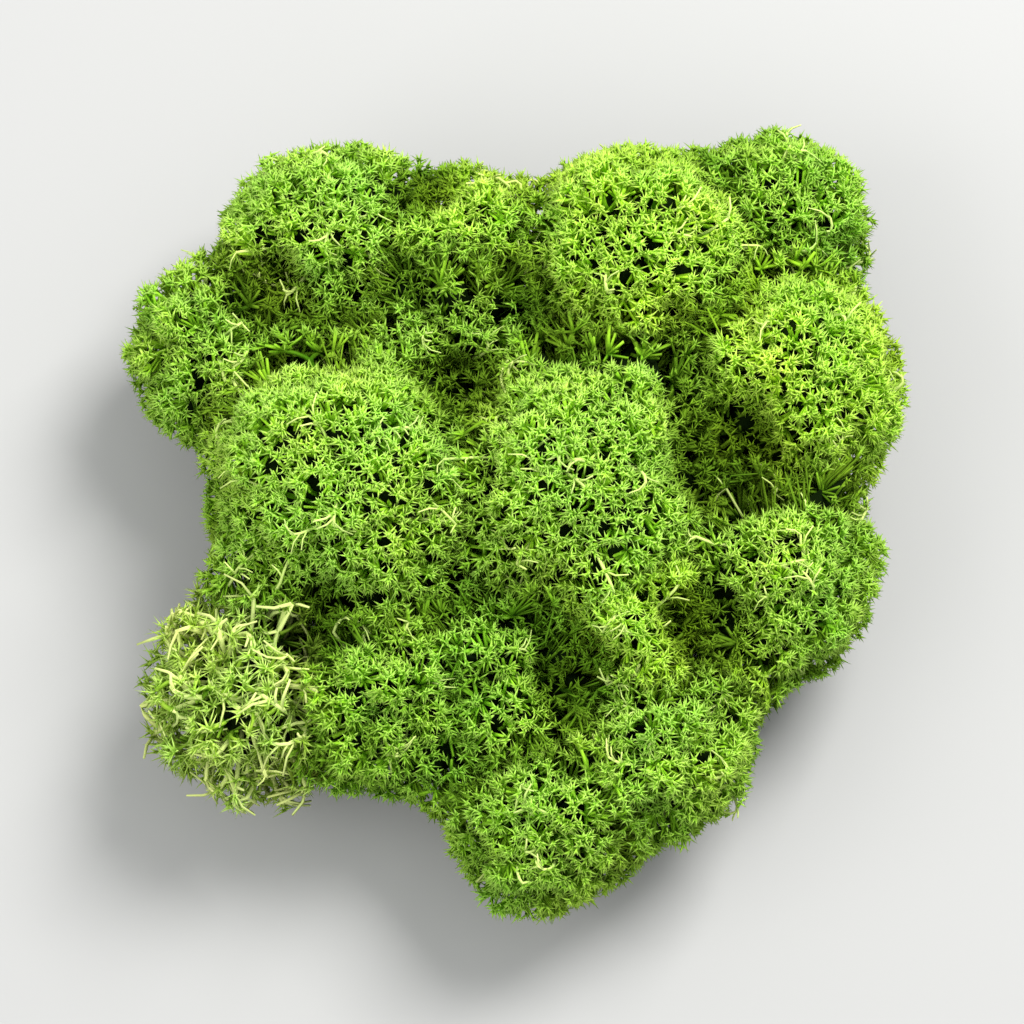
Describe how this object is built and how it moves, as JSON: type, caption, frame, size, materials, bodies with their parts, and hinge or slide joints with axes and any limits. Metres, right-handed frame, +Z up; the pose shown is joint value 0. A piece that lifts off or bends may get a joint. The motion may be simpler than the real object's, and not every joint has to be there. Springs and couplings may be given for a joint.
{
  "type": "reindeer moss clump",
  "caption": "Low cushion of preserved reindeer lichen: rounded heads of fine forking twigs pressed together over bundles of old stalks, flat where it rests; fills planters, trays and models",
  "frame": {"origin": "the middle of the clump's box, at the height of the flat surface it rests on", "axes": "+X to the picture's right, +Y to the picture's upper edge, +Z up from the resting surface"},
  "size_m": [0.1234, 0.1274, 0.0494],
  "materials": {
    "pale_green": "matte",
    "bright_green": "matte",
    "mid_green": "matte",
    "deep_green": "matte",
    "straw_green": "matte"
  },
  "bodies": {
    "root": {"head_left_edge": "mid_green", "head_left_large": "pale_green", "head_lower_bright": "bright_green", "head_lower_left": "deep_green", "head_lower_middle": "mid_green", "head_lower_shaded": "deep_green", "head_lowest": "mid_green", "head_middle_large": "pale_green", "head_right_dome": "bright_green", "head_right_lower": "mid_green", "head_small_bright": "bright_green", "head_upper_bright": "bright_green", "head_upper_left": "pale_green", "head_upper_right": "deep_green", "head_upper_shaded": "mid_green", "head_wiry": "straw_green"}
  },
  "joints": []
}
